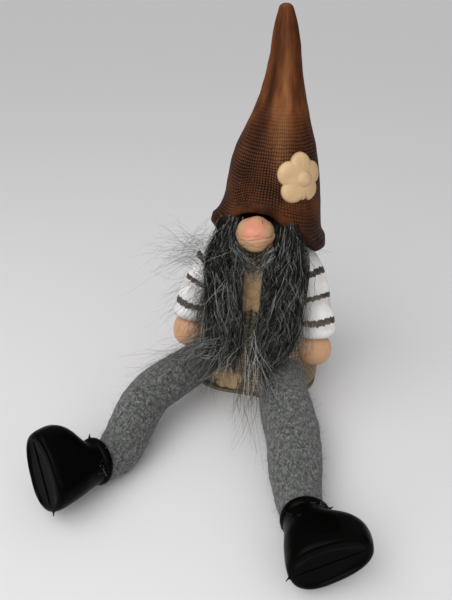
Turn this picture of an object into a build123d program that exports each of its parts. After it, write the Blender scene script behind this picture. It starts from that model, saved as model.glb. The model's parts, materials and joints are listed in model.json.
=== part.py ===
from build123d import *
import os

os.makedirs("parts", exist_ok=True)

# A sitting tomte: cast hat, head, torso, arms and nose, a glued fur beard, and stuffed felt legs in
# moulded boots. Millimetres, +Z up. It faces -Y, its own left side is +X, and the origin is the centre
# of the seat's underside, on the surface that it sits on.

# Overall sizes
sitting_height = 165.0
seat_width = 62.0
seat_depth = 45.0

# Torso casting
seat_pad = 1.5
belly_height = 21.0
chest_height = 46.0
torso_top = 71.0
belly_width = 62.0
belly_depth = 48.0
chest_width = 50.0
chest_depth = 40.0
neck_width = 37.0
neck_depth = 33.0
torso_centre_y = 1.0
torso_wall = 3.0
corner_share = 0.96

# Hat casting
hat_low = 66.0
brim_radius = 23.4
crown_z = 90.0
crown_radius = 20.4
band_z = 105.0
band_radius = 17.6
spire_radius = 9.9
finial_radius = 5.7
tip_radius = 3.0
hat_lean = 2.8
hat_wall = 2.4
hat_tip_wall = 8.0
brim_right_z = 76.0
brim_left_z = 69.0
brim_back_z = 74.0
arch_clearance = 1.9
arch_side_clearance = 3.4

# Head and nose
glue_gap = 0.1
head_top = 106.0
neck_radius = 15.0
nose_radius = 7.6
nose_stand_out = 0.6
nose_z = 83.0
nose_peg_radius = 2.5
nose_peg_length = 15.0

# Cast flowers
petals = 5
petal_ring = 5.7
petal_radius = 4.3
flower_relief = 2.6
flower_dome_radius = 3.2
hat_flower_turn = 40.0
hat_flower_tilt = 12.0
chest_flower_z = 53.0
belly_flower_z = 8.4
belly_flower_share = 0.394
belly_flower_gap = 0.6
belly_petal_share = 0.4375

# Arms
shoulder_inset = 3.5
shoulder_y = -1.0
shoulder_z = 61.0
elbow_inset = 1.4
elbow_y = -6.0
elbow_z = 50.0
wrist_inset = 2.8
wrist_y = -12.0
wrist_z = 34.0
shoulder_radius = 7.0
elbow_radius = 7.4
cuff_radius = 8.2
wrist_peg_radius = 3.5
wrist_peg_length = 5.0
hand_width = 13.5
hand_length = 17.0
hand_depth = 12.0

# Beard
beard_top = 80.0
beard_bottom = 31.0
beard_clearance = 0.4
beard_slope = 5.0
beard_part = 3.2
beard_width = 24.0
beard_nose_gap = 2.5
backing_thickness = 1.2
pile_thickness = 5.0
pile_round = 1.5

# Legs
felt = 1.3
hip_clearance = 0.8
fold_gap = 0.3
top_taper = 0.2
tab_depth = 11.0
tab_radius = 8.0

# Boots
boot_height = 24.6
boot_heel = 10.6
boot_toe = 17.8
boot_instep = 14.0
boot_throat = 10.0
boot_width = 17.2
boot_shaft_radius = 8.1
boot_wall = 1.2
boot_floor = 3.0
cuff_roll = 1.5
cuff_inset = 0.6
boot_bulge = 0.4
boot_swell = 0.6
sole_round = 2.0

torso_front = torso_centre_y - belly_depth / 2
nose_y = -brim_radius - nose_stand_out
brim_arch_z = nose_z + nose_radius + arch_clearance
arch_half_width = nose_radius + arch_side_clearance
beard_root_y = min(torso_front, -brim_radius) - beard_clearance


def finish(piece, name):
    piece.part.label = name
    export_step(piece.part, f"parts/{name}.step")


# The torso's outer form, or its hollow when it is inset by the wall.
def torso_form(inset):
    sections = [
        (seat_pad, seat_width, seat_depth),
        (belly_height, belly_width, belly_depth),
        (chest_height, chest_width, chest_depth),
        (torso_top - inset, neck_width, neck_depth),
    ]
    with BuildPart() as form:
        for height, width, depth in sections:
            with BuildSketch(Plane((0, torso_centre_y, height))):
                RectangleRounded(width - 2 * inset, depth - 2 * inset, corner_share * depth / 2 - inset)
        loft()
    return form.part


# The hat's outer form, or its hollow when it is inset by the wall: round sections up a leaning line.
def hat_form(inset):
    spire = sitting_height - band_z
    tip_z = sitting_height - (hat_tip_wall if inset > 0 else 0)
    sections = [
        (hat_low, brim_radius, 0.6),
        (hat_low + 0.4 * (crown_z - hat_low), brim_radius - 0.7, 0.7),
        (crown_z, crown_radius, 1.0),
        (band_z, band_radius, 0.95),
        (band_z + 0.4 * spire, spire_radius, 1.15),
        (band_z + 0.75 * spire, finial_radius, 1.05),
        (tip_z, tip_radius, 0.7),
    ]
    with BuildPart() as form:
        for height, radius, lean in sections:
            with BuildSketch(Plane((lean * hat_lean, 0, height))):
                Circle(max(radius - inset, tip_radius / 4))
        loft()
        if inset == 0:
            fillet(form.edges().sort_by(Axis.Z)[-1], tip_radius * 0.8)
    return form.part


torso_solid = torso_form(0)
hat_solid = hat_form(0)

# Seat pad under the torso: the flat face that the figure sits on.
with BuildPart() as seat:
    with BuildSketch(Plane((0, torso_centre_y, 0))):
        RectangleRounded(seat_width, seat_depth, corner_share * seat_depth / 2)
    extrude(amount=seat_pad)
finish(seat, "seat_pad")

# Legs: each is one limp felt tube, told apart here at the places where it bends.
# thigh runs from the hip's bend to the knee's, shin from there to the ankle's, shaft points down the boot
# to its sole, and toe along its foot.
legs = {
    "right": {
        "side": -1,
        "tab_inset": 13.0,
        "tab_z": 15.5,
        "hip_inset": 6.0,
        "hip_z": 18.3,
        "hip_radius": 9.4,
        "thigh": Vector(-11.5, -21.8, -2.3),
        "knee_radius": 8.9,
        "shin": Vector(-3.7, -25.6, -7.6),
        "ankle_radius": 8.3,
        "shaft": Vector(-0.485, -0.845, 0.224),
        "toe": Vector(-0.414, 0.448, 0.792),
    },
    "left": {
        "side": 1,
        "tab_inset": 15.5,
        "tab_z": 14.5,
        "hip_inset": 12.0,
        "hip_z": 13.4,
        "hip_radius": 11.0,
        "thigh": Vector(7.0, -25.2, -1.4),
        "knee_radius": 10.3,
        "shin": Vector(5.3, -26.5, -3.3),
        "ankle_radius": 8.6,
        "shaft": Vector(0.298, -0.944, 0.145),
        "toe": Vector(0.863, 0.331, 0.381),
    },
}

# The x of a place on a leg's own side that lies that far in from the belly's edge.
def side_x(leg, inset):
    return leg["side"] * (belly_width / 2 - leg[inset])


# A leg's glued end: a short round bar from inside the torso out to its front.
def tab_form(leg):
    place = Plane((side_x(leg, "tab_inset"), torso_front + tab_depth, leg["tab_z"]), z_dir=(0, -1, 0))
    with BuildPart() as form:
        with BuildSketch(place):
            Circle(tab_radius)
        extrude(amount=tab_depth)
    return form.part


# Torso: a hollow casting, open below, with a round hole in front for each leg's glued end.
with BuildPart() as torso:
    add(torso_solid)
    add(torso_form(torso_wall), mode=Mode.SUBTRACT)
    for leg in legs.values():
        with BuildSketch(Plane((side_x(leg, "tab_inset"), 0, leg["tab_z"]), z_dir=(0, -1, 0))):
            Circle(tab_radius)
        extrude(amount=belly_depth, mode=Mode.SUBTRACT)
finish(torso, "torso")

# Head: a plug that fills the hat and takes the nose's peg.
with BuildPart() as head:
    with BuildSketch(Plane.XY.offset(brim_arch_z - nose_radius)):
        Circle(brim_radius * 2)
    extrude(amount=head_top - brim_arch_z + nose_radius)
    add(hat_form(hat_wall + glue_gap), mode=Mode.INTERSECT)
    with BuildSketch(Plane.XY.offset(torso_top)):
        Circle(neck_radius)
    extrude(amount=brim_arch_z - nose_radius - torso_top + hat_wall)
    with Locations((0, nose_y, nose_z)):
        Sphere(nose_radius, mode=Mode.SUBTRACT)
    with BuildSketch(Plane((0, nose_y, nose_z), z_dir=(0, 1, 0))):
        Circle(nose_peg_radius)
    extrude(amount=nose_peg_length, mode=Mode.SUBTRACT)
finish(head, "head")

# Nose: a ball on a peg.
with BuildPart() as nose:
    with Locations((0, nose_y, nose_z)):
        Sphere(nose_radius)
    with BuildSketch(Plane((0, nose_y, nose_z), z_dir=(0, 1, 0))):
        Circle(nose_peg_radius)
    extrude(amount=nose_peg_length)
finish(nose, "nose")

# Hat: a leaning hollow cone whose edge arches over the nose and droops at the left.
with BuildPart() as hat:
    add(hat_solid)
    add(hat_form(hat_wall), mode=Mode.SUBTRACT)
    reach = brim_radius + hat_lean + 2
    with BuildSketch(Plane((0, 0, 0), x_dir=(1, 0, 0), z_dir=(0, -1, 0))):
        with BuildLine():
            front = Spline(
                (-reach, brim_right_z),
                (-1.8 * arch_half_width, brim_right_z + 4),
                (-arch_half_width, brim_arch_z - 4),
                (-1, brim_arch_z),
                (arch_half_width * 0.8, brim_arch_z - 4),
                (1.5 * arch_half_width, brim_left_z + 7),
                (reach, brim_left_z),
            )
            Polyline(front @ 1, (reach, hat_low - 1), (-reach, hat_low - 1), front @ 0)
        make_face()
    extrude(amount=reach, mode=Mode.SUBTRACT)
    with BuildSketch(Plane((0, 0, 0), x_dir=(1, 0, 0), z_dir=(0, -1, 0))):
        with BuildLine():
            rear = Spline((-reach, brim_right_z), (0, brim_back_z), (reach, brim_left_z))
            Polyline(rear @ 1, (reach, hat_low - 1), (-reach, hat_low - 1), rear @ 0)
        make_face()
    extrude(amount=-reach, mode=Mode.SUBTRACT)
finish(hat, "hat")


# A five-petalled flower standing on a plane, with a domed centre, cut to the surface behind it.
def flower(plane, ring, petal, surface):
    with BuildPart() as bloom:
        with BuildSketch(plane.offset(-2 * flower_relief)):
            with PolarLocations(ring, petals, start_angle=90):
                Circle(petal)
            Circle(ring)
        extrude(amount=3 * flower_relief)
        with BuildSketch(plane.offset(flower_relief)):
            Circle(flower_dome_radius)
        extrude(amount=flower_relief / 2, taper=30)
        add(surface, mode=Mode.SUBTRACT)
    return bloom


outward = Vector(0, -1, 0).rotate(Axis.Z, hat_flower_turn)
across = Vector(1, 0, 0).rotate(Axis.Z, hat_flower_turn)
hat_spot = Vector(hat_lean, 0, band_z) + outward * band_radius
hat_plane = Plane(hat_spot, x_dir=across, z_dir=outward.rotate(Axis((0, 0, 0), across), -hat_flower_tilt))
finish(flower(hat_plane, petal_ring, petal_radius, hat_solid), "hat_flower")

chest_spot = Plane((0, torso_centre_y - chest_depth / 2 + 1.2, chest_flower_z), z_dir=(0, -1, 0))
finish(flower(chest_spot, petal_ring, petal_radius, torso_solid), "chest_flower")

# The belly's flower lies between the legs' holes and reaches as far as they leave it room.
belly_share = belly_flower_z / belly_height
belly_front = torso_centre_y - (seat_depth + belly_share * (belly_depth - seat_depth)) / 2
right_hole, left_hole = [Vector(side_x(leg, "tab_inset"), belly_front, leg["tab_z"]) for leg in legs.values()]
belly_flower_x = right_hole.X + belly_flower_share * (left_hole.X - right_hole.X)
belly_middle = Vector(belly_flower_x, belly_front, belly_flower_z)
holes_away = min((belly_middle - right_hole).length, (belly_middle - left_hole).length)
belly_reach = holes_away - tab_radius - belly_flower_gap
belly_petal_radius = belly_petal_share * belly_reach
belly_petal_ring = belly_reach - belly_petal_radius
belly_spot = Plane(belly_middle, z_dir=(0, -1, 0))
finish(flower(belly_spot, belly_petal_ring, belly_petal_radius, torso_solid), "belly_flower")

# Arms: a cast sleeve that meets the torso, and a mitten hand on a peg in the sleeve's end.
for side, name in ((-1, "right"), (1, "left")):
    top = Vector(side * (neck_width / 2 - shoulder_inset), shoulder_y, shoulder_z)
    bend = Vector(side * (chest_width / 2 - elbow_inset), elbow_y, elbow_z)
    end = Vector(side * (belly_width / 2 - wrist_inset), wrist_y, wrist_z)
    upper = (bend - top).normalized()
    lower = (end - bend).normalized()
    end_plane = Plane(end, x_dir=(1, 0, 0), z_dir=lower)
    with BuildPart() as sleeve:
        with BuildSketch(Plane(top, x_dir=(0, 1, 0), z_dir=upper)):
            Circle(shoulder_radius)
        with BuildSketch(Plane(bend, x_dir=(0, 1, 0), z_dir=upper + lower)):
            Circle(elbow_radius)
        with BuildSketch(Plane(end, x_dir=(0, 1, 0), z_dir=lower)):
            Circle(cuff_radius)
        loft()
        add(torso_solid, mode=Mode.SUBTRACT)
        with BuildSketch(end_plane.offset(-wrist_peg_length)):
            Circle(wrist_peg_radius)
        extrude(amount=wrist_peg_length, mode=Mode.SUBTRACT)
    finish(sleeve, f"{name}_sleeve")

    with BuildPart() as hand:
        with BuildSketch(end_plane):
            Ellipse(hand_width / 2 - 1, hand_depth / 2 - 1)
        with BuildSketch(end_plane.offset(hand_length * 0.45)):
            Ellipse(hand_width / 2, hand_depth / 2)
        with BuildSketch(end_plane.offset(hand_length * 0.85)):
            Ellipse(hand_width / 3, hand_depth / 3)
        loft()
        with BuildSketch(end_plane.offset(-wrist_peg_length)):
            Circle(wrist_peg_radius)
        extrude(amount=wrist_peg_length)
        add(torso_solid, mode=Mode.SUBTRACT)
        add(tab_form(legs[name]), mode=Mode.SUBTRACT)
    finish(hand, f"{name}_hand")


# One panel of the beard, as an outline on the sloping beard plane.
def beard_outline(side):
    drop = beard_top - beard_bottom
    with BuildLine() as line:
        Spline(
            (side * (nose_radius + beard_nose_gap), 0),
            (side * beard_part * 1.3, -drop * 0.22),
            (side * beard_part * 1.3, -drop * 0.78),
            (side * beard_width * 0.4, -drop),
            (side * beard_width * 0.8, -drop * 0.88),
            (side * beard_width, -drop * 0.5),
            (side * beard_width * 0.85, -drop * 0.08),
            periodic=True,
        )
    return line.line


beard_upright = Plane((0, beard_root_y, beard_top), x_dir=(1, 0, 0), z_dir=(0, -1, 0))
beard_plane = beard_upright.rotated((-beard_slope, 0, 0))

# Beard: two fur panels parted in the middle, each a knitted backing with its pile.
for side, name in ((-1, "right"), (1, "left")):
    with BuildPart() as backing:
        with BuildSketch(beard_plane):
            make_face(beard_outline(side))
        extrude(amount=backing_thickness)
    finish(backing, f"{name}_beard_backing")
    with BuildPart() as pile:
        with BuildSketch(beard_plane.offset(backing_thickness)):
            make_face(beard_outline(side))
        extrude(amount=pile_thickness)
        fillet(pile.faces().sort_by(Axis.Y)[0].edges(), pile_round)
    finish(pile, f"{name}_beard_pile")


# A stretch of leg from a flat face to a rounded end about the next bend, narrower by the inset.
def leg_stretch(start, end, start_radius, end_radius, inset):
    length = (end - start).length
    with BuildPart(Plane(start, z_dir=end - start)) as stretch:
        Cone(start_radius - inset, end_radius - inset, length, align=(Align.CENTER, Align.CENTER, Align.MIN))
        with Locations((0, 0, length)):
            Sphere(end_radius - inset)
    return stretch.part


for name, leg in legs.items():
    hip_y = torso_front - hip_clearance - leg["hip_radius"]
    hip = Vector(side_x(leg, "hip_inset"), hip_y, leg["hip_z"])
    with BuildPart() as tab:
        add(tab_form(leg))
    finish(tab, f"{name}_leg_tab")

    with BuildPart() as leg_top:
        with Locations(hip):
            Sphere(leg["hip_radius"])
    finish(leg_top, f"{name}_leg_top")

    knee = hip + leg["thigh"]
    ankle = knee + leg["shin"]
    thigh_start = hip + leg["thigh"].normalized() * (leg["hip_radius"] + fold_gap)
    shin_start = knee + leg["shin"].normalized() * (leg["knee_radius"] + fold_gap)
    stretches = (
        ("thigh", thigh_start, knee, leg["hip_radius"] - top_taper, leg["knee_radius"]),
        ("shin", shin_start, ankle, leg["knee_radius"] - top_taper, leg["ankle_radius"]),
    )
    for stretch_name, start, end, start_radius, end_radius in stretches:
        stuffing_form = leg_stretch(start, end, start_radius, end_radius, felt)
        with BuildPart() as casing:
            add(leg_stretch(start, end, start_radius, end_radius, 0))
            add(stuffing_form, mode=Mode.SUBTRACT)
        finish(casing, f"{name}_{stretch_name}")
        with BuildPart() as stuffing:
            add(stuffing_form)
        finish(stuffing, f"{name}_{stretch_name}_stuffing")

    # Boot: a moulded shell with a rolled cuff, and the felt's glued end inside its shaft.
    shaft = leg["shaft"].normalized()
    cuff_top = ankle + shaft * (leg["ankle_radius"] + fold_gap)
    sole_plane = Plane(cuff_top + shaft * boot_height, x_dir=leg["toe"], z_dir=-shaft)
    # Each row: share of the height, reach to the heel, reach to the toe, half width.
    boot_sections = [
        (0.0, boot_heel - sole_round, boot_toe - sole_round, boot_width / 2 - sole_round),
        (0.14, boot_heel, boot_toe, boot_width / 2),
        (0.40, boot_heel, boot_toe, boot_width / 2 + boot_bulge),
        (0.60, boot_shaft_radius + boot_swell, boot_instep, boot_width / 2),
        (0.76, boot_shaft_radius, boot_throat, boot_shaft_radius),
        (1.0 - cuff_roll / boot_height, boot_shaft_radius, boot_shaft_radius, boot_shaft_radius),
    ]
    with BuildPart() as boot:
        for share, heel_reach, toe_reach, half_width in boot_sections:
            middle = (toe_reach - heel_reach) / 2
            half_length = (toe_reach + heel_reach) / 2
            section_plane = sole_plane.offset(share * boot_height)
            with BuildSketch(Plane(section_plane.from_local_coords((middle, 0, 0)), section_plane.x_dir,
                                   section_plane.z_dir)):
                Ellipse(half_length, half_width)
        loft()
        with BuildSketch(Plane(sole_plane.from_local_coords((0, 0, boot_height - cuff_roll)),
                               x_dir=sole_plane.x_dir, z_dir=sole_plane.y_dir)):
            with Locations((boot_shaft_radius - cuff_inset, 0)):
                Circle(cuff_roll)
        revolve(axis=Axis(cuff_top, -shaft))
        with BuildSketch(sole_plane.offset(boot_floor)):
            Circle(boot_shaft_radius - boot_wall)
        extrude(amount=boot_height, mode=Mode.SUBTRACT)
    finish(boot, f"{name}_boot")

    with BuildPart() as plug:
        with BuildSketch(sole_plane.offset(boot_floor)):
            Circle(boot_shaft_radius - boot_wall)
        extrude(amount=boot_height - boot_floor)
    finish(plug, f"{name}_ankle_plug")
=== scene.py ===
import json
import math
import bpy
import numpy as np
from mathutils import Matrix, Vector


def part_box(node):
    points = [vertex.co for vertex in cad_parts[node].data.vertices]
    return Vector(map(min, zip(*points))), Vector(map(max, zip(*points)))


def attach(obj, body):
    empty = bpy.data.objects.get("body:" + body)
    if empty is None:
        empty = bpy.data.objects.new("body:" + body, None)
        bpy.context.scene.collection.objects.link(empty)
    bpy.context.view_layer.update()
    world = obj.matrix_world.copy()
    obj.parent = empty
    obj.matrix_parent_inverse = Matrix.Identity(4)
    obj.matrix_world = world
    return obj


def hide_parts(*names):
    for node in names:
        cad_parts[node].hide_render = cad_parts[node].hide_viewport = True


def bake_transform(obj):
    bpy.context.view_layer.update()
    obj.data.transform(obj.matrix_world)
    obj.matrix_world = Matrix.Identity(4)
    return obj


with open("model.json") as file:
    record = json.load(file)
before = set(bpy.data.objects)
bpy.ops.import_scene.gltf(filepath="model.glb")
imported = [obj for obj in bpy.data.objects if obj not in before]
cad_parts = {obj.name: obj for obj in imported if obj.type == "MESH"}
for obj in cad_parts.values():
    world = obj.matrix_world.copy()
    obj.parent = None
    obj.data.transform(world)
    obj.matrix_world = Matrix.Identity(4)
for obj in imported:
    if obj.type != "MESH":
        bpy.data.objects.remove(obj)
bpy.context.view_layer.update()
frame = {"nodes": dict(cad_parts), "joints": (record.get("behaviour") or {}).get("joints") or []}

# Everything below is in millimetres until a mesh or an object is made
mm = 0.001
joints = {joint["name"]: Vector(joint["pos_m"]) / mm for joint in frame["joints"]}
# The figure's own right lies towards -X
sides = {"right": -1, "left": 1}


def boxOf(node):
    low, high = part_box(node)
    return np.array(low) / mm, np.array(high) / mm


# Camera, floor and light

# The camera's place, the ways that are right and up for it, and its lens
view = {
    "place": Vector((30.7, -250.7, 180.0)),
    "right": Vector((0.978, 0.204, 0.0456)),
    "up": Vector((-0.139, 0.472, 0.871)),
    "lens": 37.2,
}


def addCamera():
    data = bpy.data.cameras.new("camera")
    data.lens = view["lens"]
    data.sensor_width = 36.0
    data.clip_start = 0.01
    camera = bpy.data.objects.new("camera", data)
    bpy.context.scene.collection.objects.link(camera)
    right = view["right"].normalized()
    back = right.cross(view["up"]).normalized()
    up = back.cross(right)
    turn = Matrix((right, up, back)).transposed().to_4x4()
    camera.matrix_world = Matrix.Translation(view["place"] * mm) @ turn
    bpy.context.scene.camera = camera


studio = {
    "floorSize": 60000.0,
    "floorTone": (0.72, 0.71, 0.71, 1.0),
    "skyTones": (
        (0.0, (0.30, 0.30, 0.31)),
        (0.25, (0.45, 0.45, 0.46)),
        (0.6, (0.95, 0.96, 0.98)),
        (1.0, (1.25, 1.25, 1.27)),
    ),
    "skyPower": 0.52,
    "sunTurn": (0.62, -0.42, 0.0),
    "sunWidth": 0.9,
    "sunPower": 0.92,
    "lampAim": (0.0, -30.0, 50.0),
    # name, place, size and power
    "lamps": (
        ("key", (-230.0, -160.0, 420.0), 260.0, 0.30),
        ("fill", (380.0, -420.0, 260.0), 300.0, 0.30),
        ("front", (-60.0, -430.0, 300.0), 320.0, 0.80),
    ),
}


def addFloor():
    half = studio["floorSize"] / 2
    corners = [(-half, -half, 0), (half, -half, 0), (half, half, 0), (-half, half, 0)]
    floor = meshFrom("floor", np.array(corners, float), [(0, 1, 2, 3)])
    material, kit = newMaterial("paleFloor")
    kit.shader.inputs["Base Color"].default_value = studio["floorTone"]
    kit.shader.inputs["Roughness"].default_value = 0.9
    kit.shader.inputs["Specular IOR Level"].default_value = 0.1
    floor.data.materials.append(material)


def addLights():
    sunData = bpy.data.lights.new("sun", "SUN")
    sunData.angle = studio["sunWidth"]
    sunData.energy = studio["sunPower"]
    sun = bpy.data.objects.new("sun", sunData)
    sun.rotation_euler = studio["sunTurn"]
    bpy.context.scene.collection.objects.link(sun)
    for name, place, size, power in studio["lamps"]:
        data = bpy.data.lights.new(name, "AREA")
        data.size = size * mm
        data.energy = power
        lamp = bpy.data.objects.new(name, data)
        bpy.context.scene.collection.objects.link(lamp)
        lamp.location = Vector(place) * mm
        aim = Vector(studio["lampAim"]) - Vector(place)
        lamp.rotation_euler = aim.to_track_quat("-Z", "Y").to_euler()


def addSky():
    world = bpy.data.worlds.new("softSky")
    world.use_nodes = True
    sky = world.node_tree.nodes["Background"]
    sky.inputs["Strength"].default_value = studio["skyPower"]
    nodes, links = world.node_tree.nodes, world.node_tree.links
    parts = nodes.new("ShaderNodeSeparateXYZ")
    links.new(nodes.new("ShaderNodeTexCoord").outputs["Generated"], parts.inputs[0])
    ramp = nodes.new("ShaderNodeValToRGB")
    while len(ramp.color_ramp.elements) < len(studio["skyTones"]):
        ramp.color_ramp.elements.new(0.5)
    for element, (position, tone) in zip(ramp.color_ramp.elements, studio["skyTones"]):
        element.position = position
        element.color = (*tone, 1.0)
    links.new(parts.outputs["Z"], ramp.inputs["Fac"])
    links.new(ramp.outputs["Color"], sky.inputs["Color"])
    bpy.context.scene.world = world
    bpy.context.scene.view_settings.view_transform = "Standard"
    bpy.context.scene.view_settings.look = "None"


# Small helpers for meshes

def meshFrom(name, points, faces):
    mesh = bpy.data.meshes.new(name)
    mesh.from_pydata((np.asarray(points, float) * mm).tolist(), [], faces)
    mesh.update()
    mesh.shade_smooth()
    thing = bpy.data.objects.new(name, mesh)
    bpy.context.scene.collection.objects.link(thing)
    return thing


# Faces of a grid of rows x columns whose columns close on themselves
def ringFaces(rows, columns, flip=False):
    row = np.arange(rows - 1)[:, None] * columns
    column = np.arange(columns)[None, :]
    following = (column + 1) % columns
    quads = np.stack([row + column, row + following, row + columns + following, row + columns + column], -1)
    quads = quads.reshape(-1, 4)
    return quads[:, ::-1] if flip else quads


# A surface from an array rows x columns x 3, closed around, with optional caps at its first and last row
def ringSurface(name, grid, capFirst=False, capLast=False, flip=False):
    rows, columns, _ = grid.shape
    points = grid.reshape(-1, 3)
    faces = ringFaces(rows, columns, flip).tolist()
    for wanted, row in ((capFirst, 0), (capLast, rows - 1)):
        if wanted:
            middle = len(points)
            points = np.vstack([points, grid[row].mean(0)])
            ring = row * columns + np.arange(columns)
            after = row * columns + (np.arange(columns) + 1) % columns
            turned = (row == 0) != flip
            for one, two in zip(ring, after):
                faces.append((middle, two, one) if turned else (middle, one, two))
    return meshFrom(name, points, faces)


def paintValue(thing, name, values):
    full = np.zeros(len(thing.data.vertices), np.float32)
    values = np.asarray(values, np.float32).ravel()
    full[: len(values)] = values
    full[len(values):] = values[-1]
    attribute = thing.data.attributes.new(name, "FLOAT", "POINT")
    attribute.data.foreach_set("value", full)


waves = {"count": 7, "spread": 3.2, "fade": 0.55}


# Smooth wandering values between -1 and 1 on any array of places, the same every run
def wander(places, size, seed=0, rounds=3):
    value = np.zeros(places.shape[:-1])
    weight = 1.0
    total = 0.0
    chance = np.random.default_rng(seed)
    for turn in range(rounds):
        slopes = chance.normal(size=(waves["count"], 3))
        shifts = chance.uniform(0, 2 * math.pi, waves["count"])
        for slope, shift in zip(slopes, shifts):
            value = value + weight * np.sin(places @ slope * 2.0 / size * 2 ** turn + shift)
        total += weight * waves["spread"]
        weight *= waves["fade"]
    return np.clip(value / total, -1, 1)


# A smooth line through named heights or angles, worked out at any places
def through(keys, values, where):
    keys = np.asarray(keys, float)
    values = np.asarray(values, float)
    slopes = np.gradient(values, keys)
    where = np.clip(where, keys[0], keys[-1])
    left = np.clip(np.searchsorted(keys, where, side="right") - 1, 0, len(keys) - 2)
    span = keys[left + 1] - keys[left]
    t = (where - keys[left]) / span
    start, end = values[left], values[left + 1]
    lead, trail = slopes[left] * span, slopes[left + 1] * span
    return ((2 * t**3 - 3 * t**2 + 1) * start + (t**3 - 2 * t**2 + t) * lead
            + (-2 * t**3 + 3 * t**2) * end + (t**3 - t**2) * trail)


def smoothStep(low, high, where):
    t = np.clip((where - low) / (high - low), 0, 1)
    return t * t * (3 - 2 * t)


hairFacets = 3


# Points and faces of many thin hairs: paths is hairs x steps x 3, thickness is hairs x steps
def hairGeometry(paths, thickness, facets=hairFacets):
    count, steps, _ = paths.shape
    along = np.gradient(paths, axis=1)
    along /= np.linalg.norm(along, axis=2, keepdims=True) + 1e-9
    hint = np.where(np.abs(along[..., 2:3]) > 0.9, np.array([1.0, 0, 0]), np.array([0, 0, 1.0]))
    side = np.cross(along, hint)
    side /= np.linalg.norm(side, axis=2, keepdims=True) + 1e-9
    other = np.cross(along, side)
    angles = np.arange(facets) * 2 * math.pi / facets
    ring = (side[:, :, None] * np.cos(angles)[:, None] + other[:, :, None] * np.sin(angles)[:, None])
    points = paths[:, :, None] + ring * thickness[:, :, None, None] / 2
    pattern = ringFaces(steps, facets)
    faces = (pattern[None] + (np.arange(count) * steps * facets)[:, None, None]).reshape(-1, 4)
    return points.reshape(-1, 3), faces


# One mesh of hairs in several shades: shade gives each hair's material number
def hairPiece(name, paths, thickness, shade, materials):
    points, faces = hairGeometry(paths, thickness)
    thing = meshFrom(name, points, faces.tolist())
    for material in materials:
        thing.data.materials.append(material)
    perHair = (paths.shape[1] - 1) * hairFacets
    thing.data.polygons.foreach_set("material_index", np.repeat(shade, perHair).astype(np.int32))
    return thing


# Small helpers for materials

class MaterialKit:
    def __init__(self, material):
        self.nodes = material.node_tree.nodes
        self.links = material.node_tree.links
        self.shader = self.nodes["Principled BSDF"]

    def node(self, kind, **values):
        made = self.nodes.new(kind)
        for key, value in values.items():
            setattr(made, key, value)
        return made

    def join(self, start, end):
        self.links.new(start, end)

    def place(self, kind="Object"):
        return self.node("ShaderNodeTexCoord").outputs[kind]

    def noise(self, where, scale, detail=4.0, rough=0.55, stretch=None):
        if stretch is not None:
            mapping = self.node("ShaderNodeMapping")
            mapping.inputs["Scale"].default_value = stretch
            self.join(where, mapping.inputs["Vector"])
            where = mapping.outputs["Vector"]
        texture = self.node("ShaderNodeTexNoise")
        texture.inputs["Scale"].default_value = scale
        texture.inputs["Detail"].default_value = detail
        texture.inputs["Roughness"].default_value = rough
        self.join(where, texture.inputs["Vector"])
        return texture.outputs["Fac"]

    def value(self, name):
        return self.node("ShaderNodeAttribute", attribute_name=name).outputs["Fac"]

    def ramp(self, source, stops):
        ramp = self.node("ShaderNodeValToRGB")
        elements = ramp.color_ramp.elements
        while len(elements) < len(stops):
            elements.new(0.5)
        for element, (position, colour) in zip(elements, stops):
            element.position = position
            element.color = colour if len(colour) == 4 else (*colour, 1.0)
        self.join(source, ramp.inputs["Fac"])
        return ramp.outputs["Color"]

    def blend(self, first, second, amount, kind="MIX"):
        mix = self.node("ShaderNodeMix", data_type="RGBA", blend_type=kind)
        for socket, source in ((mix.inputs[6], first), (mix.inputs[7], second), (mix.inputs[0], amount)):
            if isinstance(source, (int, float)):
                socket.default_value = source
            elif isinstance(source, tuple):
                socket.default_value = (*source, 1.0)
            else:
                self.join(source, socket)
        return mix.outputs[2]

    def maths(self, kind, first, second=0.0):
        made = self.node("ShaderNodeMath", operation=kind)
        for socket, source in zip(made.inputs, (first, second)):
            if isinstance(source, (int, float)):
                socket.default_value = source
            else:
                self.join(source, socket)
        return made.outputs[0]

    def sum(self, first, second):
        return self.maths("ADD", first, second)

    def times(self, first, second):
        return self.maths("MULTIPLY", first, second)

    def colour(self, source):
        self.join(source, self.shader.inputs["Base Color"])

    def rough(self, source, low, high):
        scaled = self.node("ShaderNodeMapRange")
        scaled.inputs["To Min"].default_value = low
        scaled.inputs["To Max"].default_value = high
        self.join(source, scaled.inputs["Value"])
        self.join(scaled.outputs["Result"], self.shader.inputs["Roughness"])

    def bump(self, source, strength, distance):
        bump = self.node("ShaderNodeBump")
        bump.inputs["Strength"].default_value = strength
        bump.inputs["Distance"].default_value = distance * mm
        self.join(source, bump.inputs["Height"])
        self.join(bump.outputs["Normal"], self.shader.inputs["Normal"])


def newMaterial(name):
    material = bpy.data.materials.new(name)
    material.use_nodes = True
    return material, MaterialKit(material)


# Materials

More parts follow.
